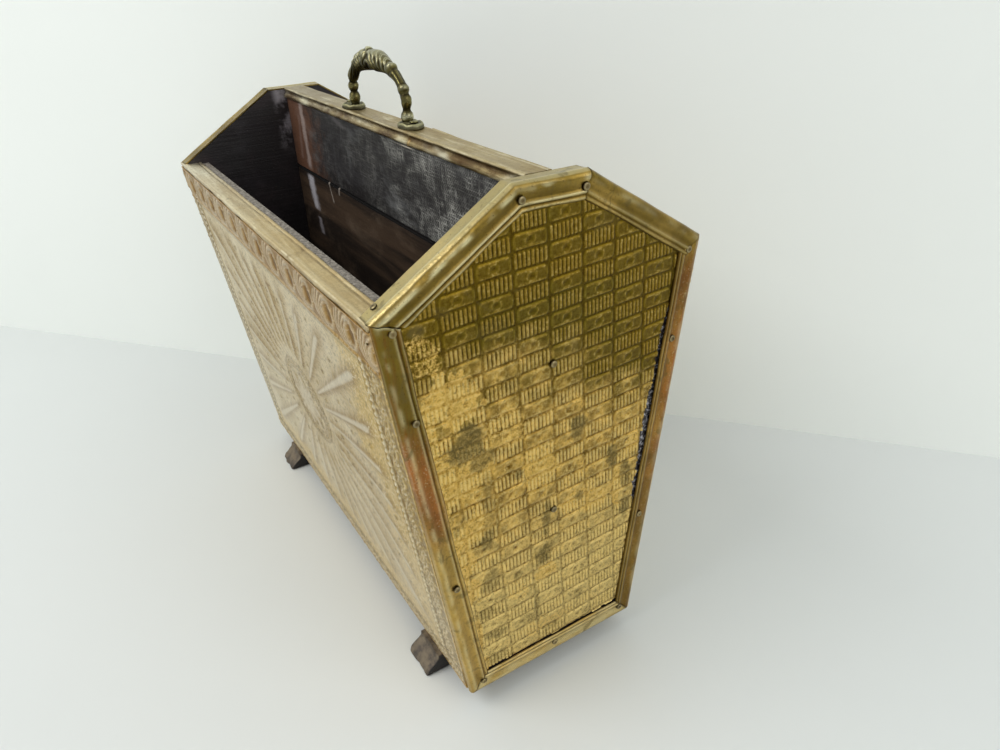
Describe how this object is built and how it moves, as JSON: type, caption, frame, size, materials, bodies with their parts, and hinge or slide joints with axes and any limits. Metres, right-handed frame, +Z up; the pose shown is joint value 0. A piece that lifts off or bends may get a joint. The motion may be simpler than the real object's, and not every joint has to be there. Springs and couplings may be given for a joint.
{
  "type": "magazine rack",
  "caption": "Free-standing magazine rack: a divided wooden box with hexagonal ends, clad in embossed brass with moulded edging, on two runners, with a cast handle on the divider.",
  "frame": {"origin": "on the floor, below the middle of the rack", "axes": "+X along the length, +Y from front to back, +Z up"},
  "size_m": [0.4024, 0.2086, 0.3866],
  "materials": {
    "stained_board": "dark stained, matt, rubbed",
    "runner_wood": "dark stained, worn grey on the edges",
    "end_sheet_brass": "embossed, tarnished in blotches",
    "side_sheet_brass": "embossed, pale and dull",
    "edging_brass": "satin, tarnished",
    "rim_brass": "dull, creased and nicked",
    "cast_brass": "antique, dark in the recesses",
    "fastener_brass": "dull"
  },
  "bodies": {
    "root": {"back_board": "stained_board", "back_sheet": "side_sheet_brass", "back_top_strip": "rim_brass", "bottom_board": "stained_board", "divider_cap": "rim_brass", "divider_lower_plank": "stained_board", "divider_upper_plank": "stained_board", "front_board": "stained_board", "front_sheet": "side_sheet_brass", "front_top_strip": "rim_brass", "handle": "cast_brass", "left_back_apex_nail": "fastener_brass", "left_back_base_nail": "fastener_brass", "left_back_foot_screw": "fastener_brass", "left_back_side_edging": "edging_brass", "left_back_side_nail_1": "fastener_brass", "left_back_side_nail_2": "fastener_brass", "left_back_side_nail_3": "fastener_brass", "left_back_slope_edging": "edging_brass", "left_base_edging": "edging_brass", "left_end_board": "stained_board", "left_end_sheet": "end_sheet_brass", "left_foot": "runner_wood", "left_front_apex_nail": "fastener_brass", "left_front_base_nail": "fastener_brass", "left_front_foot_screw": "fastener_brass", "left_front_side_edging": "edging_brass", "left_front_side_nail_1": "fastener_brass", "left_front_side_nail_2": "fastener_brass", "left_front_side_nail_3": "fastener_brass", "left_front_slope_edging": "edging_brass", "left_handle_screw": "fastener_brass", "left_middle_base_nail": "fastener_brass", "left_panel_nail_1": "fastener_brass", "left_panel_nail_2": "fastener_brass", "right_back_apex_nail": "fastener_brass", "right_back_base_nail": "fastener_brass", "right_back_foot_screw": "fastener_brass", "right_back_side_edging": "edging_brass", "right_back_side_nail_1": "fastener_brass", "right_back_side_nail_2": "fastener_brass", "right_back_side_nail_3": "fastener_brass", "right_back_slope_edging": "edging_brass", "right_base_edging": "edging_brass", "right_end_board": "stained_board", "right_end_sheet": "end_sheet_brass", "right_foot": "runner_wood", "right_front_apex_nail": "fastener_brass", "right_front_base_nail": "fastener_brass", "right_front_foot_screw": "fastener_brass", "right_front_side_edging": "edging_brass", "right_front_side_nail_1": "fastener_brass", "right_front_side_nail_2": "fastener_brass", "right_front_side_nail_3": "fastener_brass", "right_front_slope_edging": "edging_brass", "right_handle_screw": "fastener_brass", "right_middle_base_nail": "fastener_brass", "right_panel_nail_1": "fastener_brass", "right_panel_nail_2": "fastener_brass"}
  },
  "joints": []
}
